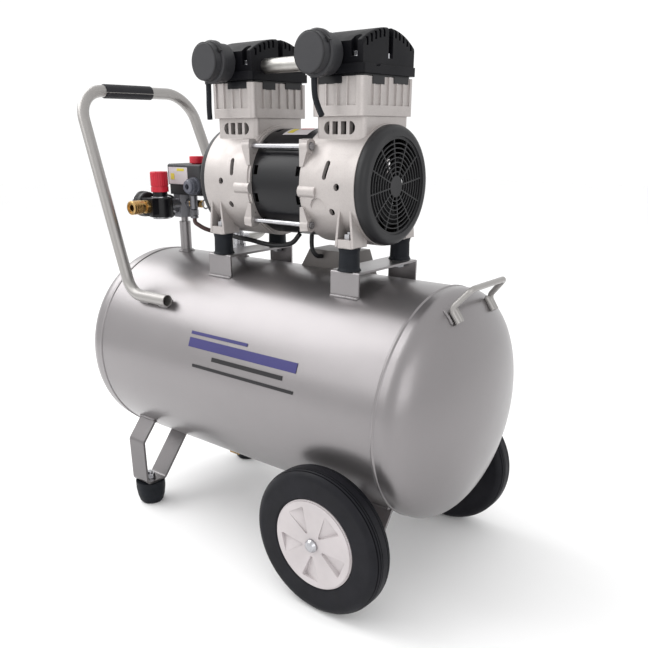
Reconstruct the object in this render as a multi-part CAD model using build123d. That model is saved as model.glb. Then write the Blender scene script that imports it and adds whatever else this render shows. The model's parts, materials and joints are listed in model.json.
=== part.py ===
"""Portable twin-cylinder air compressor: horizontal tank on two wheels and two feet.

Origin: centre of the footprint on the floor. +Z is up, +X points to the wheel end,
the towing handle is at the -X end, and the regulator and air filters face -Y.
All sizes are in millimetres.
"""
import os
from math import pi, radians, tan

from build123d import *

# ---------------------------------------------------------------- driving sizes
# Tank
TANK_R = 165.0
TANK_WALL = 3.0
TANK_Z = 275.4
SHELL_HALF = 283.0
HEAD_SKIRT = 12.0
HEAD_RISE = 63.0
BEAD_R = 3.0

# Wheels
WHEEL_X = 210.8
WHEEL_R = 107.4
TYRE_IN_Y = 157.0
TYRE_OUT_Y = 195.0
HUB_R = 66.0
AXLE_R = 8.0
AXLE_CLEARANCE = 0.05
CAP_Y = 204.0

# Feet
FOOT_X = -232.5
FOOT_STRIP_W = 39.0
FOOT_STRIP_T = 4.0
FOOT_TOP_Z = 42.0
FOOT_Y = 125.0

# Towing handle
HANDLE_R = 9.5
HANDLE_BORE_R = 8.0
HANDLE_TOP_X = -346.8
HANDLE_TOP_Z = 700.0
HANDLE_TOP_Y = 117.1
HANDLE_LEAN = 0.393
HANDLE_SPLAY = 0.0585
HANDLE_RUN_Z = 387.0
HANDLE_RUN_Y = 134.5
HANDLE_END_X = -134.5
GRIP_R = 11.2
GRIP_Y = (-65.0, 32.0)

# Lifting handle on the wheel end
LIFT_R = 4.0

# Pump
PUMP_X = 45.0
PUMP_Z = 565.9
MOUNT_DX = 122.0
MOUNT_Y = 62.0
BRACKET_TOP_Z = 458.5
BRACKET_HALF_Y = 72.5
BRACKET_HALF_X = 24.0
BRACKET_T = 3.0
ISOLATOR_R = 14.5
ISOLATOR_TOP_Z = 489.0
DRUM_R = 79.5
DRUM_STEP_R = 77.5
DRUM_BORE_R = 72.0
STATOR_HALF = 46.5
STATOR_R = 74.0
DRUM_END = 140.0
CYL_DX = 95.0
BORE_R = 29.8
PISTON_R = 29.75
CRANK_THROW = 8.0
SHAFT_R = 8.0
NECK_HX, NECK_HY = 40.0, 52.0
NECK_BASE_Z, NECK_TOP_Z = 620.0, 654.0
BLOCK_HX, BLOCK_HY = 42.0, 60.0
BLOCK_TOP_Z = 701.0
PLATE_TOP_Z = 704.0
FLANGE_TOP_Z = 715.0
COVER_SIDE_Z = 741.0
COVER_TOP_Z = 759.0
DOME_EDGE_R = 5.0
ROD_Y = 68.0
ROD_TOP_Z, ROD_LOW_Z = 617.3, 514.5
ROD_R = 3.5
ROD_HEAD_R = 4.6
WINDOW_Z = 640.0
FOOT_PAD_Z = 500.5
FILTER_DX = -12.0
FILTER_Z = 727.0
FILTER_R = 24.3
FILTER_RING_R = 28.0
FILTER_FRONT_Y = -100.0
SHROUD_R = 78.4
SHROUD_OPEN_R = 64.0
SHROUD_FRONT = 154.8
HOSE_R = 3.8
HOSE_TOP_Z = 699.0

# Controls
RISER_X = -237.5
SPIGOT_R = 8.6
MANIFOLD_Z = (499.0, 537.0)
LINE_Z = 520.0
REG_Y = -50.0
COUPLER_TIP_Y = -112.0
GAUGE_R = 20.0
GAUGE_X = -266.5
GAUGES = ((-57.0, 522.0), (-13.0, 515.0))
SWITCH_X = (-252.5, -169.0)
SWITCH_Y = (-20.0, 46.0)
SWITCH_Z = (537.0, 553.0, 586.0)
BUTTON_X, BUTTON_Y = -200.5, 2.0
CHECK_X, CHECK_Y = -127.0, 20.0
UNLOADER_X, UNLOADER_Y = -198.0, -12.0
GLAND_X, GLAND_Z = -183.5, 552.0
GLAND_R = 14.0
DRAIN_X = -138.0

SIDES = (-1, 1)


# ---------------------------------------------------------------- helpers
def block(x0, x1, y0, y1, z0, z1):
    """A box between two corners."""
    centre = ((x0 + x1) / 2, (y0 + y1) / 2, (z0 + z1) / 2)
    return Pos(*centre) * Box(x1 - x0, y1 - y0, z1 - z0)


def rod_x(r, x0, x1, y, z):
    """A round bar along X."""
    return Pos((x0 + x1) / 2, y, z) * Rot(0, 90, 0) * Cylinder(r, x1 - x0)


def rod_y(r, y0, y1, x, z):
    """A round bar along Y."""
    return Pos(x, (y0 + y1) / 2, z) * Rot(90, 0, 0) * Cylinder(r, y1 - y0)


def rod_z(r, z0, z1, x, y):
    """A round bar along Z."""
    return Pos(x, y, (z0 + z1) / 2) * Cylinder(r, z1 - z0)


def hex_z(across, z0, z1, x, y):
    """A hexagon bar along Z, measured across its flats."""
    face = RegularPolygon(across / 2, 6, major_radius=False)
    return Pos(x, y, z0) * extrude(face, z1 - z0)


def spun(points, axis_location):
    """A solid of revolution about the local Z axis from (radius, height) points."""
    outline = Polyline(*[(r, 0, h) for r, h in points], close=True)
    return axis_location * revolve(make_face(outline), Axis.Z)


def tube_along(route, radii, r_out, r_in=0.0):
    """A round tube or bar along straight runs joined by arcs."""
    path = FilletPolyline(*route, radius=radii)
    ring = Circle(r_out)
    if r_in:
        ring -= Circle(r_in)
    start = Plane(origin=path @ 0, z_dir=path % 0)
    return sweep(start * ring, path=path)


def cord_radii(route):
    """Largest arc that each corner's two runs allow, 0.45 of the shorter run."""
    points = [Vector(*p) for p in route]
    radii = []
    for before, corner, after in zip(points, points[1:], points[2:]):
        turn = (corner - before).get_angle(after - corner)
        shorter = min((corner - before).length, (after - corner).length)
        radii.append(0.45 * shorter / tan(radians(turn) / 2))
    return radii


def cord(name, route, r):
    """A flexible line; prints its arc radii and compares its volume with its length."""
    radii = cord_radii(route)
    solid = tube_along(route, radii, r)
    length = FilletPolyline(*route, radius=radii).length
    print(name, "radii", [round(x, 1) for x in radii], "length", round(length, 1),
          "volume ratio", round(solid.volume / (pi * r * r * length), 4))
    return solid


def mirror_y(shape):
    """The same piece on the other side of the centre plane."""
    return mirror(shape, about=Plane.XZ)


def mirror_pump(shape):
    """The same piece at the pump's other end."""
    return mirror(shape, about=Plane(origin=(PUMP_X, 0, 0), z_dir=(1, 0, 0)))


def both_sides(shape):
    return Compound(children=[shape, mirror_y(shape)])


def both_ends(shape):
    return Compound(children=[shape, mirror_pump(shape)])


def group(shapes):
    """Separate solids kept in one node."""
    return Compound(children=list(shapes))


def save(name, shape):
    export_step(shape, "parts/" + name + ".step")


# ---------------------------------------------------------------- tank
def tank_body(r):
    return rod_x(r, -SHELL_HALF, SHELL_HALF, 0, TANK_Z)


def tank_shell():
    shell = tank_body(TANK_R) - rod_x(TANK_R - TANK_WALL, -400, 400, 0, TANK_Z)
    top = TANK_Z + TANK_R
    shell -= rod_z(SPIGOT_R, top - 20, top + 5, RISER_X, 0)
    shell -= rod_z(7.6, top - 20, top + 5, CHECK_X, CHECK_Y)
    shell -= rod_z(6.6, TANK_Z - TANK_R - 5, TANK_Z - TANK_R + 20, DRAIN_X, 0)
    return shell


def head_profile(r, rise):
    """Quarter section of a dished head: a short skirt and a half-ellipse crown."""
    seam = SHELL_HALF
    tangent = seam + HEAD_SKIRT
    crown = EllipticalCenterArc((tangent, 0), rise, r, 0, arc_size=90)
    skirt = Polyline((tangent, r), (seam, r), (seam, 0), (tangent + rise, 0))
    return make_face(Plane.XZ * (crown + skirt))


def tank_head():
    outer = revolve(head_profile(TANK_R, HEAD_RISE), Axis.X)
    inner = revolve(head_profile(TANK_R - TANK_WALL, HEAD_RISE - TANK_WALL), Axis.X)
    head = Pos(0, 0, TANK_Z) * (outer - inner)
    bead = Pos(SHELL_HALF, 0, TANK_Z) * Rot(0, 90, 0) * Torus(TANK_R - BEAD_R / 2, BEAD_R)
    bead -= rod_x(TANK_R, SHELL_HALF - 10, SHELL_HALF + 10, 0, TANK_Z)
    return head + bead


def tank_bungs():
    """Welded threaded ports for the riser, the check valve and the drain."""
    top = TANK_Z + TANK_R
    riser = rod_z(12, top - 6, top + 3, RISER_X, 0) - rod_z(SPIGOT_R, top - 8, top + 8, RISER_X, 0)
    check = rod_z(14, top - 6, top + 5, CHECK_X, CHECK_Y)
    check -= rod_z(7.6, top - 8, top + 8, CHECK_X, CHECK_Y)
    low = TANK_Z - TANK_R
    drain = rod_z(11, low - 5, low + 4, DRAIN_X, 0) - rod_z(6.6, low - 8, low + 8, DRAIN_X, 0)
    return group(p - tank_body(TANK_R) for p in (riser, check, drain))


# ---------------------------------------------------------------- handles
def handle_corner_low():
    """Where the leg's slanted line reaches the level of the lower run."""
    drop = HANDLE_TOP_Z - HANDLE_RUN_Z
    return HANDLE_TOP_X + HANDLE_LEAN * drop, HANDLE_TOP_Y + HANDLE_SPLAY * drop


def towing_handle():
    low_x, low_y = handle_corner_low()
    side = [
        (HANDLE_END_X, HANDLE_RUN_Y, HANDLE_RUN_Z),
        (low_x, low_y, HANDLE_RUN_Z),
        (HANDLE_TOP_X, HANDLE_TOP_Y, HANDLE_TOP_Z),
    ]
    route = [(x, -y, z) for x, y, z in side] + side[::-1]
    return tube_along(route, [38, 52, 52, 38], HANDLE_R, HANDLE_BORE_R)


def handle_grip():
    """A split sleeve around the top bar, its slit facing forwards and down."""
    sleeve = rod_y(GRIP_R, GRIP_Y[0], GRIP_Y[1], 0, 0)
    sleeve = chamfer(sleeve.edges(), 0.8)
    sleeve -= rod_y(HANDLE_R + 0.1, -200, 200, 0, 0)
    sleeve -= Rot(0, 12, 0) * block(0, 40, -200, 200, -0.8, 0.8)
    return Pos(HANDLE_TOP_X, 0, HANDLE_TOP_Z) * sleeve


def lifting_handle():
    """Bent rod lying against the head, then standing out, with a short weld bar beside each leg."""
    foot, elbow = (332.5, 51, 408), (320.5, 52, 425)
    side = [foot, elbow, (344, 45, 452)]
    route = [(x, -y, z) for x, y, z in side] + side[::-1]
    handle = tube_along(route, [9, 9, 9, 9], LIFT_R)
    for y in (-44, 44):
        pad = Pos(326.5, y, 416.5) * Rot(0, -35, 0) * Cylinder(4.5, 20)
        handle += fillet(pad.edges(), 1.5)
    return handle - Pos(0, 0, TANK_Z) * revolve(head_profile(TANK_R, HEAD_RISE), Axis.X)


# ---------------------------------------------------------------- feet
def foot_outline():
    """Centre line of the bent strip, from the tank out, down, along the foot and back up."""
    t = FOOT_STRIP_T / 2
    return [(-112, 165), (-146, 125), (-145, FOOT_TOP_Z + t), (-106, FOOT_TOP_Z + t), (-44, 120)]


def foot_bracket():
    path = FilletPolyline(*[(FOOT_X, y, z) for y, z in foot_outline()], radius=[8, 8, 8])
    start = Plane(origin=path @ 0, x_dir=(1, 0, 0), z_dir=path % 0)
    strip = sweep(start * Rectangle(FOOT_STRIP_W, FOOT_STRIP_T), path=path)
    strip -= tank_body(TANK_R)
    return strip - rod_z(5.2, FOOT_TOP_Z - 2, FOOT_TOP_Z + 8, FOOT_X, -FOOT_Y)


def rubber_foot():
    profile = [(0, 0), (18, 0), (21, 4), (24, 14), (26, 28), (26, FOOT_TOP_Z), (0, FOOT_TOP_Z)]
    foot = spun(profile, Pos(FOOT_X, -FOOT_Y, 0))
    foot -= rod_z(9, -1, 10, FOOT_X, -FOOT_Y)
    return foot - rod_z(5.2, 5, 50, FOOT_X, -FOOT_Y)


def foot_bolt():
    head = rod_z(8.5, 4, 10, FOOT_X, -FOOT_Y)
    stem = rod_z(5, 9, 58, FOOT_X, -FOOT_Y)
    washer = rod_z(9.5, 46, 47.5, FOOT_X, -FOOT_Y)
    nut = hex_z(16, 47.5, 54.5, FOOT_X, -FOOT_Y)
    return head + stem + washer + nut


# ---------------------------------------------------------------- wheels
def wheel_plate():
    """The axle plate: wide at the tank, narrowing to the axle."""
    top, low = 156.0, 84.0
    outline = Polyline(
        (WHEEL_X - 70, top), (WHEEL_X + 70, top), (WHEEL_X + 54, 104),
        (WHEEL_X + 24, low), (WHEEL_X - 24, low), (WHEEL_X - 54, 104), close=True)
    plate = Pos(0, -101.5, 0) * extrude(Plane.XZ * make_face(outline), 2.5, both=True)
    boss = rod_y(15, -124, -99, WHEEL_X, WHEEL_R)
    return plate - tank_body(TANK_R) + boss - rod_y(AXLE_R, -130, -90, WHEEL_X, WHEEL_R)


def axle():
    """Stub axle with a nut behind the plate, a spacer collar and a domed cap."""
    pin = rod_y(AXLE_R, -199, -88, WHEEL_X, WHEEL_R)
    nut = Pos(WHEEL_X, -91, WHEEL_R) * Rot(90, 0, 0) * extrude(RegularPolygon(12, 6), 8)
    collar = rod_y(11, -156, -124, WHEEL_X, WHEEL_R)
    profile = [(0, 0), (9.5, 0), (9.5, 3), (7, 6.5), (3.5, 8), (0, 8)]
    cap = spun(profile, Pos(WHEEL_X, -CAP_Y + 8, WHEEL_R) * Rot(90, 0, 0))
    return pin + nut + collar + cap


def tyre():
    half = (TYRE_OUT_Y - TYRE_IN_Y) / 2
    section = Pos((WHEEL_R + HUB_R) / 2, 0) * Rectangle(WHEEL_R - HUB_R, 2 * half)
    outer = section.vertices().group_by(Axis.X)[-1]
    inner = section.vertices().group_by(Axis.X)[0]
    section = fillet(outer, 13)
    section = fillet(section.vertices().group_by(Axis.X)[0], 4)
    for side in SIDES:
        for inset in (6, 9.5, 13):
            section -= Pos(WHEEL_R, side * (half - inset)) * Rectangle(8, 1.3)
    ring = revolve(Plane.XY * section, Axis.Y)
    return Pos(WHEEL_X, -(TYRE_IN_Y + half), WHEEL_R) * ring


def hub():
    """Moulded disc hub: rim, web with five triangular pockets, and a centre boss."""
    half = (TYRE_OUT_Y - TYRE_IN_Y) / 2
    face = -half - 0.9
    body = rod_y(HUB_R, -half + 1, half - 1, 0, 0)
    body += rod_y(HUB_R - 2, face, -half + 2, 0, 0)
    body -= rod_y(60, -half + 12, half + 1, 0, 0)
    body += rod_y(17, -half + 2, half + 1, 0, 0)
    for k in range(5):
        tip = 14.0
        pocket = make_face(Polyline((tip, 0), (53, -17), (55, 13), close=True))
        prism = Rot(14, 0, 0) * Pos(0, 0, 1) * extrude(fillet(pocket.vertices(), 2), 12)
        body -= Pos(0, face, 0) * Rot(0, 90 - 72 * k, 0) * Rot(90, 0, 0) * Pos(0, 0, -4) * prism
    body -= rod_y(AXLE_R + AXLE_CLEARANCE, -60, 60, 0, 0)
    return Pos(WHEEL_X, -(TYRE_IN_Y + half), WHEEL_R) * body


# ---------------------------------------------------------------- pump mounts
def pump_bracket(x):
    """Folded saddle: a flat top and two flanges that stand on the tank."""
    x0, x1 = x - BRACKET_HALF_X, x + BRACKET_HALF_X
    saddle = block(x0, x1, -BRACKET_HALF_Y, BRACKET_HALF_Y, 400, BRACKET_TOP_Z)
    inside = BRACKET_HALF_Y - BRACKET_T
    saddle -= block(x0 - 1, x1 + 1, -inside, inside, 390, BRACKET_TOP_Z - BRACKET_T)
    saddle = fillet(saddle.edges().filter_by(Axis.X).group_by(Axis.Z)[-1], 3)
    saddle -= tank_body(TANK_R)
    for side in SIDES:
        saddle -= rod_z(4.1, 440, 470, x, side * MOUNT_Y)
    return saddle


def isolator(x, y):
    profile = [(0, 0), (16.5, 0), (ISOLATOR_R, 4), (ISOLATOR_R - 0.6, 24), (15.2, 30.5), (0, 30.5)]
    body = spun(profile, Pos(x, y, BRACKET_TOP_Z))
    return body - rod_z(4.1, 450, 500, x, y)


def mount_bolt(x, y):
    """Threaded stud through an isolator, a nut under the bracket and one on the foot."""
    stem = rod_z(4, 446, 510, x, y)
    nut = hex_z(13, 447, 455.5, x, y)
    return stem + nut + hex_z(13, 500.5, 507, x, y)


def mount_points():
    return [(PUMP_X + s * MOUNT_DX, t * MOUNT_Y) for s in SIDES for t in SIDES]


# ---------------------------------------------------------------- pump housing
def drum(r, d0, d1):
    """Round bar on the pump's axis between two distances from the pump's middle."""
    return rod_x(r, PUMP_X + d0, PUMP_X + d1, 0, PUMP_Z)


def soft_box(hx, hy, z0, z1, x, corner):
    """An upright box with rounded vertical corners."""
    return Pos(x, 0, z0) * extrude(RectangleRounded(2 * hx, 2 * hy, corner), z1 - z0)


def housing_leg(side):
    """Foot pad, backing web and two slanted fins on one side of the housing."""
    x = PUMP_X + MOUNT_DX
    pad = RectangleRounded(27, 29, 6)
    leg = Pos(x, side * 61, ISOLATOR_TOP_Z) * extrude(pad, FOOT_PAD_Z - ISOLATOR_TOP_Z)
    leg += block(x - 13, x + 13, *sorted((side * 40, side * 53.5)), ISOLATOR_TOP_Z, 546)
    for lean in SIDES:
        fin = Box(3.6, 22, 58)
        leg += Pos(x + lean * 11, side * 63.5, 519) * Rot(0, -6 * lean, 0) * fin
    return leg


def tie_lug(side, level):
    """A fin that stands out at the motor end and carries one tie rod's head."""
    x0 = PUMP_X + STATOR_HALF
    z = ROD_TOP_Z if level > 0 else ROD_LOW_Z
    tall = 26 if level > 0 else 24
    outline = Polyline((x0, z + 9 * level), (x0 + 14, z + 7 * level), (x0 + 14, z - 4 * level),
                       (x0 + 6, z - tall * level), (x0, z - tall * level), close=True)
    fin = extrude(Plane.XZ * make_face(outline), 4.5, both=True)
    fin = Pos(0, side * 72, 0) * fin
    return fin + rod_x(9.5, x0, x0 + 14, side * ROD_Y, z)


def housing():
    """Cast crankcase at the +X end: drum, neck, legs and lugs, hollow inside."""
    x = PUMP_X + CYL_DX
    body = drum(DRUM_STEP_R, STATOR_HALF, DRUM_END) + drum(DRUM_R, STATOR_HALF + 4, DRUM_END)
    body += soft_box(NECK_HX, NECK_HY, NECK_BASE_Z - 20, NECK_TOP_Z, x, 8)
    for side in SIDES:
        body += housing_leg(side)
        body += tie_lug(side, 1) + tie_lug(side, -1)
        body += rod_x(9, PUMP_X + STATOR_HALF, PUMP_X + 76, side * (DRUM_R - 6), PUMP_Z - 6)
    body -= drum(DRUM_BORE_R, 66, DRUM_END + 1)
    body -= drum(58, STATOR_HALF - 1, 54)
    body -= drum(14, 40, 70)
    body -= soft_box(34, 42, NECK_BASE_Z - 30, NECK_TOP_Z + 1, x, 6)
    return body - housing_openings(x)


def housing_openings(x):
    """Holes shared by both ends: barred window, rod holes and stud holes."""
    cut = []
    for side in SIDES:
        window = SlotOverall(51, 16)
        for k in (-1, 0, 1):
            window -= Pos(14 * k, 0) * Rectangle(5, 16)
        cut.append(Pos(x, side * NECK_HY, WINDOW_Z) * extrude(Plane.XZ * window, 12, both=True))
        for z in (ROD_TOP_Z, ROD_LOW_Z):
            cut.append(rod_x(ROD_R + 0.1, PUMP_X + 40, PUMP_X + 75, side * ROD_Y, z))
            cut.append(rod_x(5.2, PUMP_X + 58, PUMP_X + 75, side * ROD_Y, z))
        cut.append(rod_z(4.1, 480, FOOT_PAD_Z + 0.5, PUMP_X + MOUNT_DX, side * MOUNT_Y))
    return cut


def drum_holes(slot_dx, slot_tilt, holes):
    """Slanted slot and round holes through both flanks, given as (dx, dz, radius)."""
    cut = []
    for side in SIDES:
        slot = Rot(0, 0, 90) * SlotOverall(24, 7)
        place = Pos(PUMP_X + slot_dx, side * DRUM_R, PUMP_Z + 22) * Rot(0, slot_tilt, 0)
        cut.append(place * extrude(Plane.XZ * slot, 15, both=True))
        for dx, dz, r in holes:
            cut.append(rod_y(r, *sorted((side * 55, side * 90)), PUMP_X + dx, PUMP_Z + dz))
    return cut


def crankcases():
    """The two castings share one pattern; the drilled holes differ a little between them."""
    right = housing() - drum_holes(92, 10, [(112, 1.5, 4.6), (100.5, -31, 4.4)])
    seat = rod_y(12.5, -84, -74, PUMP_X + 78, PUMP_Z - 26) - rod_y(12.5, -73.6, -60, PUMP_X + 78, PUMP_Z - 26)
    left = housing() - drum_holes(83, 6, [(104, 2, 4.6), (90, -31, 4.4)])
    return group([right - seat, mirror_pump(left)])


def stator_shell():
    """Wrapped steel motor casing with ventilation notches round both ends."""
    shell = drum(STATOR_R, -STATOR_HALF, STATOR_HALF) - drum(STATOR_R - 2, -60, 60)
    for end in SIDES:
        for k in range(12):
            angle = 15 + 30 * k
            slot = Pos(PUMP_X + end * (STATOR_HALF - 7), 0, PUMP_Z) * Rot(angle, 0, 0)
            shell -= slot * Pos(0, 0, STATOR_R) * Box(7, 13, 8)
    return shell


def stator_core():
    core = drum(STATOR_R - 2, -30, 30) - drum(40.5, -60, 60)
    for end in SIDES:
        coil = drum(66, *sorted((end * 30, end * 43))) - drum(46, -60, 60)
        core += coil
    return core


def tie_rod(y, z):
    rod = rod_x(ROD_R, PUMP_X - 60, PUMP_X + 60, y, z)
    for end in SIDES:
        rod += rod_x(ROD_HEAD_R, *sorted((PUMP_X + end * 58, PUMP_X + end * 62.5)), y, z)
    return rod


def bearing(distance):
    """Ball bearing, shown as its two rings and sealed middle."""
    ring = drum(13.95, distance - 5, distance + 5) - drum(SHAFT_R + 0.05, -150, 150)
    return ring


# ---------------------------------------------------------------- moving motor parts
def motor_shaft():
    """Shaft with a crank throw at each end; both throws point up at rest."""
    shaft = drum(SHAFT_R, -87, 87)
    for end in SIDES:
        inner = sorted((end * 80, end * 88))
        outer = sorted((end * 102, end * 110))
        throw = rod_x(5, *sorted((PUMP_X + end * 86, PUMP_X + end * 104)), 0, PUMP_Z + CRANK_THROW)
        shaft += drum(21, *inner) + drum(21, *outer) + throw
        shaft += drum(6, *sorted((end * 108, end * 137)))
    return shaft


def rotor():
    core = drum(39.8, -30, 30) - drum(SHAFT_R, -60, 60)
    for end in SIDES:
        core += drum(36, *sorted((end * 30, end * 36))) - drum(26, -60, 60)
    return core


def cooling_fan():
    """Seven-blade fan on the shaft's end."""
    x = PUMP_X + 128
    fan = rod_x(17, x - 9, x + 9, 0, PUMP_Z)
    for k in range(7):
        blade = Pos(0, 0, 38) * Rot(0, 0, 35) * Box(2.2, 20, 46)
        fan += Pos(x, 0, PUMP_Z) * Rot(360 / 7 * k, 0, 0) * blade
    return fan - rod_x(6, x - 30, x + 30, 0, PUMP_Z)


def piston():
    """Piston and rod in one, with a slotted big end around the crank pin."""
    x = PUMP_X + CYL_DX
    crown = rod_z(PISTON_R, 676, 695, x, 0) - rod_z(24, 670, 688, x, 0)
    crown += rod_z(12, 676, 692, x, 0)
    rod = block(x - 4.5, x + 4.5, -7, 7, PUMP_Z + 30, 690)
    slot_z = PUMP_Z + CRANK_THROW
    half_w = CRANK_THROW + 5 + 0.8
    eye = SlotCenterToCenter(2 * CRANK_THROW, 2 * (half_w + 5))
    hole = SlotCenterToCenter(2 * CRANK_THROW, 2 * half_w)
    ring = extrude(Rot(0, 0, 90) * (eye - hole), 9)
    ring = Pos(x - 4.5, 0, slot_z) * (Plane.YZ * ring)
    return crown + rod + ring


# ---------------------------------------------------------------- cylinders and heads
def rib_pockets(x):
    """Shallow upright panels between the cylinder block's ribs."""
    pockets = []
    z0, z1 = NECK_TOP_Z + 13, BLOCK_TOP_Z + 1
    for side in SIDES:
        flank = sorted((x + side * (BLOCK_HX - 2.2), x + side * 50))
        for y in (-42, -26, -8, 10, 26, 42):
            pockets.append(block(*flank, y - 6.5, y + 6.5, z0, z1))
        front = sorted((side * (BLOCK_HY - 2.2), side * 70))
        for dx in (-25, -9, 9, 25):
            pockets.append(block(x + dx - 6.5, x + dx + 6.5, *front, z0, z1))
    return pockets


def top_notches(x):
    """Openings under the head cover where cooling air enters."""
    cuts = []
    for side in SIDES:
        edge = sorted((x + side * (BLOCK_HX - 8), x + side * 50))
        cuts.append(block(*edge, -36, -10, BLOCK_TOP_Z - 9, BLOCK_TOP_Z + 1))
        cuts.append(block(*edge, 12, 46, BLOCK_TOP_Z - 7, BLOCK_TOP_Z + 1))
        face = sorted((side * (BLOCK_HY - 8), side * 70))
        cuts.append(block(x - 30, x + 8, *face, BLOCK_TOP_Z - 8, BLOCK_TOP_Z + 1))
    return cuts


def cylinder_block():
    x = PUMP_X + CYL_DX
    body = soft_box(BLOCK_HX, BLOCK_HY, NECK_TOP_Z, BLOCK_TOP_Z, x, 9)
    body -= rib_pockets(x)
    body -= top_notches(x)
    return body - rod_z(BORE_R, NECK_TOP_Z - 1, BLOCK_TOP_Z + 1, x, 0)


def valve_plate():
    """Plate with the dark liners that sit back in the block's air notches."""
    x = PUMP_X + CYL_DX
    plate = soft_box(BLOCK_HX - 4, BLOCK_HY - 4, BLOCK_TOP_Z, PLATE_TOP_Z, x, 6)
    liner = soft_box(BLOCK_HX - 1.2, BLOCK_HY - 1.2, BLOCK_TOP_Z - 9, PLATE_TOP_Z, x, 8)
    notches = Compound(children=top_notches(x))
    return plate + (liner & notches)


def bolt_places():
    """Head bolts as offsets from the cylinder's axis."""
    return [(34, 2), (-34, 2), (27, -51), (27, 51), (-27, 51)]


def cover_dome(x):
    """Arched body of the head cover, extruded along X."""
    hx, hy = BLOCK_HX - 1.5, BLOCK_HY - 2
    top = ThreePointArc((-hy, COVER_SIDE_Z), (0, COVER_TOP_Z), (hy, COVER_SIDE_Z))
    sides = Polyline((hy, COVER_SIDE_Z), (hy, FLANGE_TOP_Z - 1), (-hy, FLANGE_TOP_Z - 1), (-hy, COVER_SIDE_Z))
    face = make_face(Plane.YZ * (top + sides))
    dome = Pos(x - hx, 0, 0) * extrude(face, 2 * hx, dir=(1, 0, 0))
    return fillet(dome.edges().filter_by(GeomType.CIRCLE), DOME_EDGE_R)


def head_cover():
    """Black cover: flange, arched top with louvres, bolt pockets and the filter socket."""
    x = PUMP_X + CYL_DX
    body = soft_box(BLOCK_HX + 1, BLOCK_HY + 2, PLATE_TOP_Z, FLANGE_TOP_Z, x, 6) + cover_dome(x)
    for side in SIDES:
        edge = sorted((x + side * (BLOCK_HX - 9), x + side * 50))
        for k in range(5):
            y = 13 + 9 * k
            lift = (COVER_TOP_Z - COVER_SIDE_Z) * (1 - (y / 58) ** 2)
            z = COVER_SIDE_Z + lift
            for flank in (-y, y):
                body -= block(*edge, flank - 2, flank + 2, z - 11, z - 1.5)
    for dx, y in bolt_places():
        body -= rod_z(5.5, 723, 770, x + dx, y)
        out = 50 if abs(dx) > 30 else 0
        if out:
            body -= block(*sorted((x + dx, x + (out if dx > 0 else -out))), y - 5, y + 5, 723, 770)
        else:
            body -= block(x + dx - 5, x + dx + 5, *sorted((y, 70 if y > 0 else -70)), 723, 770)
    for side in SIDES:
        body -= rod_x(10, *sorted((x + side * (BLOCK_HX - 1.5), x + side * 50)), -30, 722)
    return body - rod_y(19, -70, -40, x + FILTER_DX, FILTER_Z)


def head_covers():
    """Two equal covers: both filter sockets sit on the same side of their cylinders."""
    right = head_cover()
    return group([right, Pos(-2 * CYL_DX, 0, 0) * right])


def cover_bolts():
    bolts = []
    for x in (PUMP_X - CYL_DX, PUMP_X + CYL_DX):
        for dx, y in bolt_places():
            bolts.append(hex_z(8.5, 723, 729, x + dx, y) + rod_z(5, 723, 724, x + dx, y))
    return group(bolts)


def intake_filter(x, hose_x):
    """Intake silencer: stub in the cover, canister, clamp ring, cap and drain nipple."""
    axis = (x, FILTER_Z)
    body = rod_y(19, -63, -48, *axis) + rod_y(25, -80, -BLOCK_HY - 2, *axis)
    ring = chamfer(rod_y(FILTER_RING_R, -88, -78, *axis).edges(), 2)
    cap = rod_y(FILTER_R, FILTER_FRONT_Y, -86, *axis)
    cap = fillet(cap.edges().group_by(Axis.Y)[0], 2.5)
    nipple = rod_z(5, HOSE_TOP_Z, FILTER_Z - 20, hose_x, -83)
    return body + ring + cap + nipple


def intake_filters():
    left = intake_filter(PUMP_X - CYL_DX + FILTER_DX, LEFT_HOSE[0][0])
    right = intake_filter(PUMP_X + CYL_DX + FILTER_DX, RIGHT_HOSE[0][0])
    return group([left, right])


def crossover_tube():
    """Pipe that joins the two heads."""
    x0 = PUMP_X - CYL_DX + BLOCK_HX - 1.5
    x1 = PUMP_X + CYL_DX - BLOCK_HX + 1.5
    pipe = rod_x(10, x0, x1, -30, 722)
    return pipe - rod_x(8, x0 - 1, x1 + 1, -30, 722)


LEFT_HOSE = [(-71.5, -83, 699), (-71.5, -83, 685), (-72.3, -83.4, 669), (-70.6, -84.2, 652.4)]
RIGHT_HOSE = [(123, -83, 699), (123, -83, 685), (127.2, -83.6, 669), (137, -84.6, 654.6)]


# ---------------------------------------------------------------- fan shrouds
def grille_sketch():
    """Round guard with a hub, rings and spokes."""
    pattern = Circle(14)
    for r in (19, 25, 31, 37, 43, 49, 55, 61):
        pattern += Circle(r + 0.7) - Circle(r - 0.7)
    for k in range(12):
        pattern += Rot(0, 0, 30 * k + 8) * Pos(39, 0) * Rectangle(54, 1.8)
    return pattern


def fan_shroud():
    """Black end ring with a rounded lip and the guard set into its mouth."""
    ring = drum(SHROUD_R, DRUM_END, SHROUD_FRONT)
    ring = fillet(ring.edges().group_by(Axis.X)[-1], 9)
    ring -= drum(SHROUD_OPEN_R, DRUM_END - 1, SHROUD_FRONT + 1)
    front = Plane(origin=(PUMP_X + SHROUD_FRONT - 4.5, 0, PUMP_Z), z_dir=(1, 0, 0))
    guard = front * extrude(grille_sketch(), 2.5)
    lip = drum(SHROUD_OPEN_R + 0.5, SHROUD_FRONT - 4.5, SHROUD_FRONT - 2) - drum(SHROUD_OPEN_R - 3, 0, 200)
    return ring + lip + guard


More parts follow.
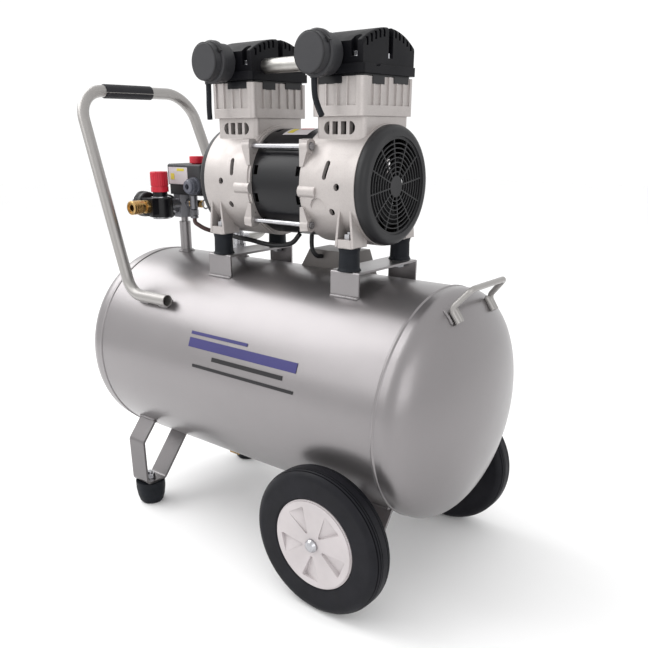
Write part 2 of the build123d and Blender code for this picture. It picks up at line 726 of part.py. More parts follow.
# ---------------------------------------------------------------- check valve, cables, capacitor
def check_valve():
    """Non-return valve on the tank with a side port and a rear inlet port."""
    top = TANK_Z + TANK_R
    body = rod_z(7.6, top - 6, top + 6, CHECK_X, CHECK_Y) + hex_z(22, top + 5, top + 20, CHECK_X, CHECK_Y)
    body += rod_z(9, top + 19, top + 38, CHECK_X, CHECK_Y) + hex_z(14, top + 37, top + 42, CHECK_X, CHECK_Y)
    side_port = rod_x(5.5, CHECK_X - 18, CHECK_X - 7, CHECK_Y, top + 32)
    rear_port = rod_y(7, CHECK_Y + 5, CHECK_Y + 20, CHECK_X, top + 28)
    return body + side_port + rear_port


def unloader_line():
    """Thin pipe from the pressure switch's valve to the check valve."""
    x, y, z = CHECK_X - 18, CHECK_Y, TANK_Z + TANK_R + 32
    route = [(UNLOADER_X, UNLOADER_Y, 501), (UNLOADER_X, UNLOADER_Y, 492), (-184, -4, 482),
             (-164, y, z), (x, y, z)]
    return cord("unloader_line", route, 3.5)


def discharge_pipe():
    """Pipe from the rear of the left head down to the check valve."""
    x, z = PUMP_X - CYL_DX - 18, TANK_Z + TANK_R + 28
    route = [(x, BLOCK_HY - 2, 728), (x, 96, 728), (x - 2, 96, 600), (CHECK_X + 14, 96, 510),
             (CHECK_X, 74, z), (CHECK_X, CHECK_Y + 20, z)]
    return tube_along(route, [16, 60, 24, 20], 6)


def motor_cable():
    """Supply lead from the switch to the underside of the motor."""
    route = [(SWITCH_X[1] - 2, 24, 545), (-164, 24, 545), (-149, 19, 530), (-139, 8, 510), (-128, -6, 492),
             (-110, -18, 480), (-86, -23, 477.5), (-56, -25, 477), (-26, -25, 473), (4, -23, 472.5),
             (30, -21, 478), (43, -20, 492.9)]
    return cord("motor_cable", route, 3.5)


def capacitor_cable():
    """Lead from the motor to the run capacitor under its cover."""
    route = [(50, 0, 491.6), (50, -1, 479), (52.5, -2.5, 468), (57, 2, 459), (58, 13.8, 457.4)]
    return cord("capacitor_cable", route, 3.3)


def capacitor_cover():
    """Folded sheet cover with sloping ends, standing on the tank."""
    def shape(t):
        outline = Polyline((8 + t, 425), (34 + t, 467 - t), (112 - t, 467 - t), (128 - t, 425), close=True)
        return Pos(0, 39, 0) * extrude(Plane.XZ * make_face(outline), 25 - t, both=True)
    cover = shape(0) - shape(1.5) - block(0, 140, 10, 70, 420, 430)
    return cover - tank_body(TANK_R)


def capacitor():
    return rod_x(12, 38, 100, 38, 450.5)


# ---------------------------------------------------------------- controls
def riser_pipe():
    top = TANK_Z + TANK_R
    pipe = rod_z(SPIGOT_R, top - 4, top + 4, RISER_X, 0) + rod_z(9.5, top + 3, 491, RISER_X, 0)
    return pipe + rod_z(6, 490, MANIFOLD_Z[0], RISER_X, 0)


def manifold():
    """Cast distribution block on top of the riser."""
    body = hex_z(29, MANIFOLD_Z[0], MANIFOLD_Z[1], RISER_X, 0)
    body += rod_y(9.5, -36, 0, RISER_X, LINE_Z) - rod_z(20, 490, 560, RISER_X, REG_Y)
    body += rod_x(9, RISER_X - 22, RISER_X, -13, GAUGES[1][1])
    body += rod_x(8, RISER_X, RISER_X + 22, 0, LINE_Z + 2)
    return body


def regulator_body():
    """Diaphragm housing, bonnet and the outlet towards the coupler."""
    body = rod_z(20, 503, 534, RISER_X, REG_Y) + rod_z(14.5, 500, 504, RISER_X, REG_Y)
    body = chamfer(body.edges().group_by(Axis.Z)[-1], 2)
    body += rod_z(12, 533, 546, RISER_X, REG_Y)
    body += block(RISER_X - 13, RISER_X + 13, -78, REG_Y, 508, 534)
    body += rod_x(8, RISER_X - 22, RISER_X, GAUGES[0][0], GAUGES[0][1])
    return body


def regulator_knob():
    """Ribbed knob that sets the outlet pressure, over the bonnet."""
    knob = rod_z(14.5, 543, 575, 0, 0)
    knob = fillet(knob.edges().group_by(Axis.Z)[-1], 1.5)
    for k in range(24):
        knob -= Rot(0, 0, 15 * k) * Pos(14.9, 0, 563) * Box(1.6, 1.5, 20)
    knob -= rod_z(15, 551, 552.6, 0, 0) - rod_z(13.6, 550, 554, 0, 0)
    knob -= rod_z(12.05, 540, 548, 0, 0)
    return Pos(RISER_X, REG_Y, 0) * knob


def gauge_case(y, z):
    """Open-fronted gauge case with a dial plate, facing -X."""
    case = rod_x(GAUGE_R, GAUGE_X - 12, GAUGE_X + 7, y, z)
    case = fillet(case.edges().group_by(Axis.X)[-1], 3)
    case -= rod_x(GAUGE_R - 2, GAUGE_X - 13, GAUGE_X - 5, y, z)
    return case + rod_x(1.5, GAUGE_X - 8, GAUGE_X - 4, y, z)


def gauge_needle(y, z):
    """Pointer on its hub, resting at the zero mark at lower left."""
    needle = Pos(0, 0, 5) * Box(0.8, 1.4, 18) + Rot(0, 90, 0) * Cylinder(2.6, 1.6)
    needle -= Rot(0, 90, 0) * Cylinder(1.55, 4)
    return Pos(GAUGE_X - 7.2, y, z) * Rot(-135, 0, 0) * needle


def coupler_body():
    """Quick coupler outlet: hexagon shank and a bored tail that carries the sleeve."""
    shank = Pos(RISER_X, -78, 521) * Rot(90, 0, 0) * extrude(RegularPolygon(10, 6, major_radius=False), 7)
    tail = rod_y(8, -110, -84, RISER_X, 521)
    return shank + tail - rod_y(5.2, -111, -86, RISER_X, 521)


def coupler_sleeve():
    """Knurled sliding sleeve that releases the hose plug."""
    sleeve = rod_y(11, COUPLER_TIP_Y, -92, RISER_X, 521)
    sleeve = chamfer(sleeve.edges().group_by(Axis.Y)[0], 1)
    for y in (-107, -103.5, -100, -96.5):
        sleeve -= rod_y(12, y - 0.6, y + 0.6, RISER_X, 521) - rod_y(10.4, y - 2, y + 2, RISER_X, 521)
    return sleeve - rod_y(8.05, -120, -80, RISER_X, 521)


def switch_base():
    base = block(SWITCH_X[0] + 2, SWITCH_X[1] - 2, SWITCH_Y[0] + 2, SWITCH_Y[1] - 2, SWITCH_Z[0], SWITCH_Z[1])
    valve = rod_z(5, 513, SWITCH_Z[0] + 1, UNLOADER_X, UNLOADER_Y)
    valve += hex_z(9.5, 503, 514, UNLOADER_X, UNLOADER_Y) + rod_z(4.5, 501, 504, UNLOADER_X, UNLOADER_Y)
    boss = block(GLAND_X - 14, GLAND_X + 14, SWITCH_Y[0], SWITCH_Y[0] + 4, SWITCH_Z[0], SWITCH_Z[1])
    return fillet(base.edges().filter_by(Axis.Z), 3) + valve + boss


def switch_cover():
    """Hollow cover with rounded upper edges and the button's guide hole."""
    cover = block(*SWITCH_X, *SWITCH_Y, SWITCH_Z[1], SWITCH_Z[2])
    cover = fillet(cover.edges().filter_by(Axis.Z), 4)
    cover = fillet(cover.edges().group_by(Axis.Z)[-1], 3.5)
    cover -= block(SWITCH_X[0] + 2, SWITCH_X[1] - 2, SWITCH_Y[0] + 2, SWITCH_Y[1] - 2,
                   SWITCH_Z[1] - 1, SWITCH_Z[2] - 2)
    return cover - rod_z(9.1, 580, 590, BUTTON_X, BUTTON_Y)


def switch_button():
    """Round on/off knob on a stem; pushed down for off."""
    knob = rod_z(12, 587.6, 598.2, BUTTON_X, BUTTON_Y)
    knob = fillet(knob.edges().group_by(Axis.Z)[-1], 1.2)
    return knob + rod_z(9.05, 566, 588, BUTTON_X, BUTTON_Y)


def cable_gland():
    """Ribbed strain relief for the mains lead, on the switch's front face."""
    x, z = GLAND_X, GLAND_Z
    body = rod_y(GLAND_R, -25, SWITCH_Y[0], x, z) + rod_y(GLAND_R - 1.6, -33, -24, x, z)
    dome = rod_y(GLAND_R - 3, -38, -32, x, z)
    body += fillet(dome.edges().group_by(Axis.Y)[0], 3.5)
    for k in range(12):
        rib = Pos(x, -28.5, z) * Rot(0, 30 * k, 0) * Pos(GLAND_R - 1.4, 0, 0)
        body -= rib * Box(1.6, 6, 1.8)
    return body - rod_y(4.5, -45, -24, x, z)


def safety_valve():
    x0 = RISER_X + 22
    body = rod_x(8, x0, x0 + 6, 0, LINE_Z + 2) + rod_x(6, x0 + 5, x0 + 24, 0, LINE_Z + 2)
    return body - rod_x(2.6, x0 + 12, x0 + 30, 0, LINE_Z + 2)


def safety_ring():
    """Pull ring and stem that lift the safety valve."""
    x0 = RISER_X + 46
    stem = rod_x(2.5, x0 - 8, x0 + 3, 0, LINE_Z + 2)
    return stem + Pos(x0 + 9, 0, LINE_Z + 2) * Rot(90, 0, 0) * Torus(7, 1.2)


def drain_valve():
    low = TANK_Z - TANK_R
    return rod_z(6.6, low - 22, low + 5, DRAIN_X, 0) + hex_z(15, low - 15, low - 6, DRAIN_X, 0)


def drain_knob():
    low = TANK_Z - TANK_R
    wing = block(DRAIN_X - 11, DRAIN_X + 11, -2, 2, low - 33.5, low - 24)
    return wing + rod_z(5, low - 28, low - 22.3, DRAIN_X, 0)


# ---------------------------------------------------------------- write every node
def frame_nodes():
    head = tank_head()
    save("tank_shell", tank_shell())
    save("tank_heads", group([head, mirror(head, about=Plane.YZ)]))
    save("tank_ports", tank_bungs())
    save("towing_handle", towing_handle())
    save("handle_grip", handle_grip())
    save("lifting_handle", lifting_handle())
    save("foot_brackets", both_sides(foot_bracket()))
    save("rubber_feet", both_sides(rubber_foot()))
    save("axle_plates", both_sides(wheel_plate()))
    save("stub_axles", both_sides(axle()))


def wheel_nodes():
    near_hub, near_tyre = hub(), tyre()
    save("wheel_hub_near", near_hub)
    save("tyre_near", near_tyre)
    save("wheel_hub_far", mirror_y(near_hub))
    save("tyre_far", mirror_y(near_tyre))


def pump_nodes():
    save("crankcases", crankcases())
    save("motor_casing", stator_shell())
    save("stator_core", stator_core())
    save("tie_rods", group(tie_rod(y, z) for y in (-ROD_Y, ROD_Y) for z in (ROD_TOP_Z, ROD_LOW_Z)))
    save("shaft_bearings", group(bearing(s * 60) for s in SIDES))
    save("cylinder_blocks", both_ends(cylinder_block()))
    save("valve_plates", both_ends(valve_plate()))
    save("head_covers", head_covers())
    save("head_bolts", cover_bolts())
    save("intake_filters", intake_filters())
    save("crossover_pipe", crossover_tube())
    save("fan_shrouds", both_ends(fan_shroud()))
    save("breather_hose_left", cord("breather_hose_left", LEFT_HOSE, HOSE_R))
    save("breather_hose_right", cord("breather_hose_right", RIGHT_HOSE, HOSE_R))


def mount_nodes():
    xs = [PUMP_X + s * MOUNT_DX for s in SIDES]
    save("pump_brackets", group(pump_bracket(x) for x in xs))
    save("rubber_isolators", group(isolator(x, y) for x, y in mount_points()))
    bolts = [mount_bolt(x, y) for x, y in mount_points()]
    save("mounting_bolts", group(bolts + [foot_bolt(), mirror_y(foot_bolt())]))


def motor_nodes():
    rod = piston()
    save("motor_shaft", motor_shaft())
    save("rotor_core", rotor())
    save("cooling_fans", both_ends(cooling_fan()))
    save("piston_right", rod)
    save("piston_left", mirror_pump(rod))


def line_nodes():
    save("check_valve", check_valve())
    save("unloader_line", unloader_line())
    save("discharge_pipe", discharge_pipe())
    save("motor_cable", motor_cable())
    save("capacitor_cable", capacitor_cable())
    save("capacitor_cover", capacitor_cover())
    save("capacitor", capacitor())


def control_nodes():
    save("riser_pipe", riser_pipe())
    save("manifold", manifold())
    save("regulator_body", regulator_body())
    save("regulator_knob", regulator_knob())
    save("gauge_cases", group(gauge_case(y, z) for y, z in GAUGES))
    save("gauge_needle_outlet", gauge_needle(*GAUGES[0]))
    save("gauge_needle_tank", gauge_needle(*GAUGES[1]))
    save("coupler_body", coupler_body())
    save("coupler_sleeve", coupler_sleeve())
    save("switch_base", switch_base())
    save("switch_cover", switch_cover())
    save("switch_button", switch_button())
    save("cable_gland", cable_gland())
    save("safety_valve", safety_valve())
    save("safety_ring", safety_ring())
    save("drain_valve", drain_valve())
    save("drain_knob", drain_knob())


os.makedirs("parts", exist_ok=True)
frame_nodes()
wheel_nodes()
mount_nodes()
pump_nodes()
motor_nodes()
line_nodes()
control_nodes()
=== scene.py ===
"""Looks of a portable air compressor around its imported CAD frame.

Everything is in metres in the frame of the CAD model: +Z is up, the wheels are at +X,
the towing handle is at -X, and the regulator and the air filters face -Y.
Places come from the CAD nodes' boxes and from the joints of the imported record.
"""
import json
import math
import random

import bmesh
import bpy
from mathutils import Matrix, Vector


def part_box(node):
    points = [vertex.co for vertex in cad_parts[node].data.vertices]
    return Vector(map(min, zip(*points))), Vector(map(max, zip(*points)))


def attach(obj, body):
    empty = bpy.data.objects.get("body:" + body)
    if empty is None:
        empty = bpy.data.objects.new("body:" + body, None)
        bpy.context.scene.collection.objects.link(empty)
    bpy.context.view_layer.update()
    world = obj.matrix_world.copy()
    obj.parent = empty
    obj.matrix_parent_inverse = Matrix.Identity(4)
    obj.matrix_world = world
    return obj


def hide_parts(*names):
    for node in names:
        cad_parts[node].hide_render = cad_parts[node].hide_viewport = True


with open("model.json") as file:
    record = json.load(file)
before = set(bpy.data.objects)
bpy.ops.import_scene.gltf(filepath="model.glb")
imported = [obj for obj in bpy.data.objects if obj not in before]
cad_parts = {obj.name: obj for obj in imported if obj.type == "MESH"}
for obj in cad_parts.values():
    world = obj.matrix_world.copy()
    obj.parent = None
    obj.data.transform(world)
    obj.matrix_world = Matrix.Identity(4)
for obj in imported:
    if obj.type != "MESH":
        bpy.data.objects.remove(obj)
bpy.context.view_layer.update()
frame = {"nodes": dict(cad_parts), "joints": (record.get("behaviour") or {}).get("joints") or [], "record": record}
NODES = frame["nodes"]
RECORD = frame["record"]
JOINTS = {j["name"]: j for j in frame["joints"]}
MM = 0.001


# ---------------------------------------------------------------- places from the frame
def middle(node):
    """Centre of a CAD node's box."""
    low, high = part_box(node)
    return (low + high) / 2


def size(node):
    """Edge lengths of a CAD node's box."""
    low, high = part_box(node)
    return high - low


def pivot(joint):
    """Where a joint's axis stands."""
    return Vector(JOINTS[joint]["pos_m"])


TANK_AXIS = middle("tank_shell")
TANK_R = size("tank_shell").z / 2


# ---------------------------------------------------------------- camera, floor, light
CAMERA_AT = (0.76122, -0.85676, 0.63502)
CAMERA_YAW = 0.695496
CAMERA_DOWN = 0.359207
CAMERA_ROLL = -0.0041045
LENS = 40.371
SHIFT = (0.02045, 0.1248)
LIGHTS_AIM = Vector((0, 0, 0.4))
SURROUND_STRENGTH = 1.08
FLOOR_HALF = 9.0


def add_camera():
    """The camera that stands where the photograph's camera stood."""
    yaw, down, roll = CAMERA_YAW, CAMERA_DOWN, CAMERA_ROLL
    ahead = Vector((-math.sin(yaw) * math.cos(down), math.cos(yaw) * math.cos(down), -math.sin(down)))
    right = Vector((math.cos(yaw), math.sin(yaw), 0))
    up = right.cross(ahead)
    right_rolled = right * math.cos(roll) + up * math.sin(roll)
    up_rolled = up * math.cos(roll) - right * math.sin(roll)
    turn = Matrix((right_rolled, up_rolled, -ahead)).transposed().to_4x4()
    data = bpy.data.cameras.new("camera")
    data.sensor_width = 36
    data.lens = LENS
    data.shift_x, data.shift_y = SHIFT
    camera = bpy.data.objects.new("camera", data)
    camera.matrix_world = Matrix.Translation(CAMERA_AT) @ turn
    bpy.context.scene.collection.objects.link(camera)
    bpy.context.scene.camera = camera


def add_area_light(name, at, width, height, power):
    """A soft box aimed at the middle of the machine."""
    data = bpy.data.lights.new(name, "AREA")
    data.shape = "RECTANGLE"
    data.size, data.size_y = width, height
    data.energy = power
    lamp = bpy.data.objects.new(name, data)
    lamp.location = at
    lamp.rotation_euler = (LIGHTS_AIM - Vector(at)).to_track_quat("-Z", "Y").to_euler()
    bpy.context.scene.collection.objects.link(lamp)


def add_studio():
    """A pale floor, an even pale surround and three soft boxes."""
    half = FLOOR_HALF
    mesh = bpy.data.meshes.new("floor")
    corners = [(-half, -half, 0), (half, -half, 0), (half, half, 0), (-half, half, 0)]
    mesh.from_pydata(corners, [], [(0, 1, 2, 3)])
    floor = bpy.data.objects.new("floor", mesh)
    bpy.context.scene.collection.objects.link(floor)
    paint = Look("floor_paint", (0.93, 0.93, 0.93), 0.7, Specular_IOR_Level=0.1)
    paint.colour(paint.ramp(paint.noise(3, detail=3), (0.92, 0.92, 0.92), (0.94, 0.94, 0.94)))
    mesh.materials.append(paint.material)

    world = bpy.data.worlds.new("surround")
    bpy.context.scene.world = world
    world.use_nodes = True
    world.node_tree.nodes["Background"].inputs["Color"].default_value = (1, 1, 1, 1)
    world.node_tree.nodes["Background"].inputs["Strength"].default_value = SURROUND_STRENGTH

    add_area_light("overhead_box", (-1.7, -0.5, 2.2), 2.4, 1.8, 44)
    add_area_light("front_left_box", (-1.4, -2.4, 1.7), 0.9, 1.6, 10)
    add_area_light("right_box", (2.2, -1.6, 1.3), 1.6, 1.6, 12)
    bpy.context.scene.view_settings.view_transform = "Standard"


# ---------------------------------------------------------------- material kit
MIX_AMOUNT, MIX_FIRST, MIX_SECOND, MIX_COLOUR_OUT = 0, 6, 7, 2


class Look:
    """A procedural material: one Principled shader, and short calls that add detail to it."""

    def __init__(self, name, colour, rough, metal=0.0, edge=0.0, **sockets):
        self.material = bpy.data.materials.new(name)
        self.material.use_nodes = True
        self.material.diffuse_color = (*colour, 1)
        self.tree = self.material.node_tree
        self.shader = self.tree.nodes["Principled BSDF"]
        self.set("Base Color", (*colour, 1))
        self.set("Roughness", rough)
        self.set("Metallic", metal)
        for socket, value in sockets.items():
            self.set(socket.replace("_", " "), value)
        self.normal = None
        if edge:
            self.normal = self.node("Bevel", {"samples": 6}, Radius=edge).outputs["Normal"]
            self.set("Normal", self.normal)

    def set(self, socket, value):
        """Give a shader socket a number, or join a node's output to it."""
        if isinstance(value, bpy.types.NodeSocket):
            self.tree.links.new(value, self.shader.inputs[socket])
        else:
            self.shader.inputs[socket].default_value = value

    def node(self, kind, settings=None, **inputs):
        """Add a shader node; inputs are numbers or other nodes' outputs."""
        made = self.tree.nodes.new("ShaderNode" + kind)
        for name, value in (settings or {}).items():
            setattr(made, name, value)
        for name, value in inputs.items():
            socket = made.inputs[name.replace("_", " ")]
            if isinstance(value, bpy.types.NodeSocket):
                self.tree.links.new(value, socket)
            else:
                socket.default_value = value
        return made

    def place(self, stretch=(1, 1, 1)):
        """Object coordinates, stretched."""
        where = self.node("TexCoord").outputs["Object"]
        return self.node("Mapping", Vector=where, Scale=stretch).outputs["Vector"]

    def noise(self, scale, detail=4.0, rough=0.55, stretch=(1, 1, 1)):
        texture = self.node("TexNoise", Vector=self.place(stretch), Scale=scale, Detail=detail,
                            Roughness=rough)
        return texture.outputs["Fac"]

    def cells(self, scale):
        """Distance to the nearest of many scattered points."""
        return self.node("TexVoronoi", Vector=self.place(), Scale=scale).outputs["Distance"]

    def spread(self, value, low, high):
        """Map the middle of a noise's range onto low..high."""
        ranged = self.node("MapRange", Value=value, From_Min=0.3, From_Max=0.7, To_Min=low, To_Max=high)
        return ranged.outputs["Result"]

    def ramp(self, value, low, high, start=0.3, end=0.7):
        """Turn a value into a colour between low and high."""
        ramp = self.node("ValToRGB", Fac=value)
        stops = ramp.color_ramp.elements
        stops[0].position, stops[1].position = start, end
        stops[0].color, stops[1].color = (*low, 1), (*high, 1)
        return ramp.outputs["Color"]

    def blend(self, amount, first, second):
        """Mix two colours; the Mix node's colour sockets are known by their index only."""
        mix = self.tree.nodes.new("ShaderNodeMix")
        mix.data_type = "RGBA"
        for index, value in ((MIX_AMOUNT, amount), (MIX_FIRST, first), (MIX_SECOND, second)):
            if isinstance(value, bpy.types.NodeSocket):
                self.tree.links.new(value, mix.inputs[index])
            else:
                mix.inputs[index].default_value = value if index == MIX_AMOUNT else (*value, 1)
        return mix.outputs[MIX_COLOUR_OUT]

    def colour(self, value):
        self.set("Base Color", value)

    def bump(self, height, depth):
        """Add relief; depth is the height in metres of a full step."""
        extra = {"Normal": self.normal} if self.normal else {}
        made = self.node("Bump", Height=height, Distance=depth, **extra)
        self.normal = made.outputs["Normal"]
        self.set("Normal", self.normal)


def shade(colour, factor):
    return tuple(min(1.0, c * factor) for c in colour)


def painted(name, colour, rough=0.35, metal=0.0, edge=0.0006, vary=0.08, peel=0.00004, **sockets):
    """Sprayed paint: faint clouds of tone, orange peel, and slightly rubbed gloss."""
    look = Look(name, colour, rough, metal, edge, **sockets)
    look.colour(look.ramp(look.noise(7, 5), shade(colour, 1 - vary), shade(colour, 1 + vary)))
    look.set("Roughness", look.spread(look.noise(14, 6), rough * 0.88, rough * 1.15))
    look.bump(look.noise(420, 2), peel)
    return look


def metal_flake(name, colour, rough=0.34, metal=0.85):
    """Silver paint with fine flake and a satin lacquer."""
    look = Look(name, colour, rough, metal, 0.0008, Coat_Weight=0.35, Coat_Roughness=0.22)
    flake = look.ramp(look.noise(2600, 2, 0.7), shade(colour, 0.84), shade(colour, 1.16))
    cloud = look.ramp(look.noise(4, 5), shade(colour, 0.93), shade(colour, 1.06))
    look.colour(look.blend(0.5, flake, cloud))
    look.set("Roughness", look.spread(look.noise(9, 6), rough * 0.9, rough * 1.12))
    look.bump(look.noise(1500, 2), 0.000012)
    look.bump(look.noise(160, 3), 0.00003)
    return look


def cast_metal(name, colour, rough=0.45, metal=0.55):
    """Shot-blasted die casting: fine grain, soft clouds, darker pits."""
    look = Look(name, colour, rough, metal, 0.0011)
    cloud = look.ramp(look.noise(16, 6), shade(colour, 0.90), shade(colour, 1.05))
    pits = look.ramp(look.noise(700, 3, 0.7), shade(colour, 0.78), shade(colour, 1.04), 0.30, 0.52)
    look.colour(look.blend(0.45, cloud, pits))
    look.set("Roughness", look.spread(look.noise(60, 4), rough * 0.85, rough * 1.2))
    look.bump(look.noise(1300, 3, 0.65), 0.00006)
    look.bump(look.noise(90, 3), 0.00012)
    return look


def turned_metal(name, colour, rough=0.28, stretch=(1, 1, 30), edge=0.0004):
    """Machined or plated metal with fine tool lines."""
    look = Look(name, colour, rough, 1.0, edge)
    look.colour(look.ramp(look.noise(30, 5), shade(colour, 0.84), shade(colour, 1.08)))
    lines = look.noise(140, 4, 0.7, stretch)
    look.set("Roughness", look.spread(lines, rough * 0.75, rough * 1.35))
    look.bump(lines, 0.00002)
    return look


def moulded(name, colour, rough=0.5, grain=900, depth=0.00005, edge=0.0008, **sockets):
    """Moulded plastic: spark-eroded grain and faint flow marks."""
    look = Look(name, colour, rough, 0.0, edge, **sockets)
    look.colour(look.ramp(look.noise(11, 5), shade(colour, 0.88), shade(colour, 1.12)))
    look.set("Roughness", look.spread(look.noise(35, 5), rough * 0.86, rough * 1.14))
    look.bump(look.cells(grain), depth)
    return look


def rubber(name, colour, rough=0.62, depth=0.00006):
    """Matt rubber with bloom: paler dusty patches and a fine grain."""
    look = Look(name, colour, rough, 0.0, 0.0008, Specular_IOR_Level=0.16)
    dust = look.ramp(look.noise(26, 7, 0.65), shade(colour, 0.85), shade(colour, 1.5), 0.35, 0.8)
    look.colour(dust)
    look.set("Roughness", look.spread(look.noise(40, 6), rough * 0.85, rough * 1.15))
    look.bump(look.noise(1100, 3), depth)
    return look


def weld_metal(name, colour):
    """Painted weld: silver paint over an uneven, rippled bead."""
    look = metal_flake(name, colour, 0.42, 0.7)
    look.bump(look.noise(300, 4, 0.6), 0.0003)
    return look


def lens_glass(name):
    """Clear gauge lens, lightly dusted."""
    look = Look(name, (0.96, 0.98, 0.98), 0.03, Transmission_Weight=1.0, IOR=1.46)
    look.set("Roughness", look.spread(look.noise(60, 5), 0.02, 0.09))
    return look


# Bounds of the painted shade inside the crankcases' bore and cylinder necks.
CASTING_BORE_R = 0.0735
NECK_HALF_X = 0.0365
NECK_HALF_Y = 0.0436
NECK_FLOOR_Z = 0.610


def paint_inner_shade(look, colour):
    """Paint shade into a casting's cored interior: a near-black painted shade inside the drum's bore and inside
    the cylinder necks.
    """
    axis = middle("motor_casing")
    neck = abs(middle("piston_right").x - axis.x)
    where = look.node("SeparateXYZ", Vector=look.node("TexCoord").outputs["Object"])
    x, y, z = (where.outputs[key] for key in "XYZ")

    def calc(operation, first, second=0.0):
        made = look.node("Math", {"operation": operation})
        for socket, value in zip(made.inputs, (first, second)):
            if isinstance(value, bpy.types.NodeSocket):
                look.tree.links.new(value, socket)
            else:
                socket.default_value = value
        return made.outputs[0]

    rise = calc("SUBTRACT", z, axis.z)
    spread = calc("SQRT", calc("ADD", calc("MULTIPLY", y, y), calc("MULTIPLY", rise, rise)))
    in_drum = calc("LESS_THAN", spread, CASTING_BORE_R)
    off = calc("ABSOLUTE", calc("SUBTRACT", calc("ABSOLUTE", calc("SUBTRACT", x, axis.x)), neck))
    within_x = calc("LESS_THAN", off, NECK_HALF_X)
    within_y = calc("LESS_THAN", calc("ABSOLUTE", y), NECK_HALF_Y)
    in_neck = calc("MULTIPLY", within_x, within_y)
    in_neck = calc("MULTIPLY", in_neck, calc("GREATER_THAN", z, NECK_FLOOR_Z))
    # Mask of the painted shade: the drum's bore and the cylinder necks.
    inside = calc("MAXIMUM", in_drum, in_neck)
    base = look.shader.inputs["Base Color"].links[0].from_socket
    look.colour(look.blend(inside, base, colour))
    return look


SILVER = (0.238, 0.225, 0.229)
CASTING = (0.42, 0.39, 0.378)
LOOKS = {}


def make_looks():
    """One look for each material slot of the record, and a few for small added pieces."""
    LOOKS.update({
        "tank_paint": metal_flake("tank_silver", SILVER),
        "handle_paint": metal_flake("handle_silver", (0.31, 0.298, 0.288), 0.38, 0.7),
        "cast_aluminium": cast_metal("cast_aluminium_look", CASTING),
        "bare_aluminium": turned_metal("drawn_aluminium", (0.38, 0.372, 0.355), 0.34),
        "zinc_steel": turned_metal("zinc_plate", (0.45, 0.45, 0.47), 0.27),
        "black_paint": painted("satin_black_paint", (0.0035, 0.0035, 0.005), 0.32, Specular_IOR_Level=0.3),
        "black_plastic": moulded("charcoal_plastic", (0.017, 0.017, 0.0185), 0.46,
                                 Specular_IOR_Level=0.28),
        "grip_plastic": moulded("grip_sleeve_plastic", (0.014, 0.014, 0.017), 0.55, 600,
                                Specular_IOR_Level=0.25),
        "grey_plastic": moulded("dark_grey_plastic", (0.032, 0.034, 0.037), 0.42, Specular_IOR_Level=0.3),
        "red_plastic": moulded("red_knob_plastic", (0.50, 0.018, 0.036), 0.36, 700, 0.00003,
                               Specular_IOR_Level=0.3),
        "white_plastic": moulded("hub_white_plastic", (0.47, 0.435, 0.44), 0.42, 500, 0.00003),
        "tyre_rubber": rubber("tyre_rubber_look", (0.007, 0.007, 0.0095), 0.5),
        "black_rubber": rubber("moulded_rubber_look", (0.008, 0.0095, 0.0125), 0.55),
        "brass": turned_metal("turned_brass", (0.52, 0.34, 0.14), 0.26, (1, 30, 1)),
        "steel_core": cast_metal("core_steel", (0.10, 0.10, 0.10), 0.5, 0.8),
        "cable_black": painted("cable_sheath", (0.009, 0.009, 0.010), 0.4, vary=0.2,
                               Specular_IOR_Level=0.3),
        "copper_line": painted("brown_nylon_line", (0.055, 0.022, 0.02), 0.38, vary=0.15),
        "cover_black": moulded("cover_black_plastic", (0.0045, 0.0045, 0.006), 0.46,
                               Specular_IOR_Level=0.12),
        "filter_grey": moulded("filter_charcoal_plastic", (0.029, 0.029, 0.032), 0.5,
                               Specular_IOR_Level=0.3),
        "cover_sheet": painted("grey_brown_sheet_paint", (0.13, 0.12, 0.115), 0.45, 0.5, vary=0.1),
        # Crankcases: cast metal with a near-black painted shade in the bore and the necks.
        "crankcase_cast_painted_shade": paint_inner_shade(cast_metal("crankcase_painted_shade_look", CASTING), (0.012, 0.009, 0.009)),
        "gland_grey": moulded("gland_nylon", (0.105, 0.11, 0.135), 0.4, Specular_IOR_Level=0.4),
        "dark_zinc": cast_metal("dark_zinc_cast", (0.20, 0.20, 0.215), 0.38, 0.8),
        # Foot brackets: the tank's silver at 0.68, a painted shade for brackets that sit in shadow.
        "bracket_silver_painted_shade": metal_flake("foot_bracket_painted_shade_silver", shade(SILVER, 0.68)),
        "weld": weld_metal("weld_bead", shade(SILVER, 0.92)),
        "blue_print": painted("blue_stripe_ink", (0.034, 0.031, 0.13), 0.4, vary=0.1,
                              Specular_IOR_Level=0.3),
        "dark_print": painted("dark_stripe_ink", (0.012, 0.011, 0.013), 0.4, vary=0.1,
                              Specular_IOR_Level=0.3),
        "label": painted("label_film", (0.50, 0.47, 0.48), 0.36, vary=0.03),
        "yellow_print": painted("yellow_ink", (0.55, 0.46, 0.03), 0.4, vary=0.06),
        "dial": painted("dial_enamel", (0.74, 0.74, 0.72), 0.4, vary=0.02),
        "ink": painted("dial_ink", (0.01, 0.01, 0.01), 0.5, vary=0.1),
        "red_ink": painted("dial_red_ink", (0.50, 0.02, 0.02), 0.5, vary=0.1),
        "bezel": turned_metal("bezel_chrome", (0.50, 0.50, 0.51), 0.18),
        "lens": lens_glass("gauge_lens"),
    })


OWN_LOOKS = {
    "head_covers": "cover_black", "intake_filters": "filter_grey", "capacitor_cover": "cover_sheet",
    "crankcases": "crankcase_cast_painted_shade", "cable_gland": "gland_grey", "manifold": "dark_zinc",
    "foot_brackets": "bracket_silver_painted_shade"}


def dress_nodes():
    """Give every CAD node the look of its material slot, or its own variant of it."""
    for row in RECORD["subparts"]:
        mesh = NODES[row["node"]].data
        look = LOOKS[OWN_LOOKS.get(row["node"], row["material_slot"])]
        mesh.materials.clear()
        mesh.materials.append(look.material)


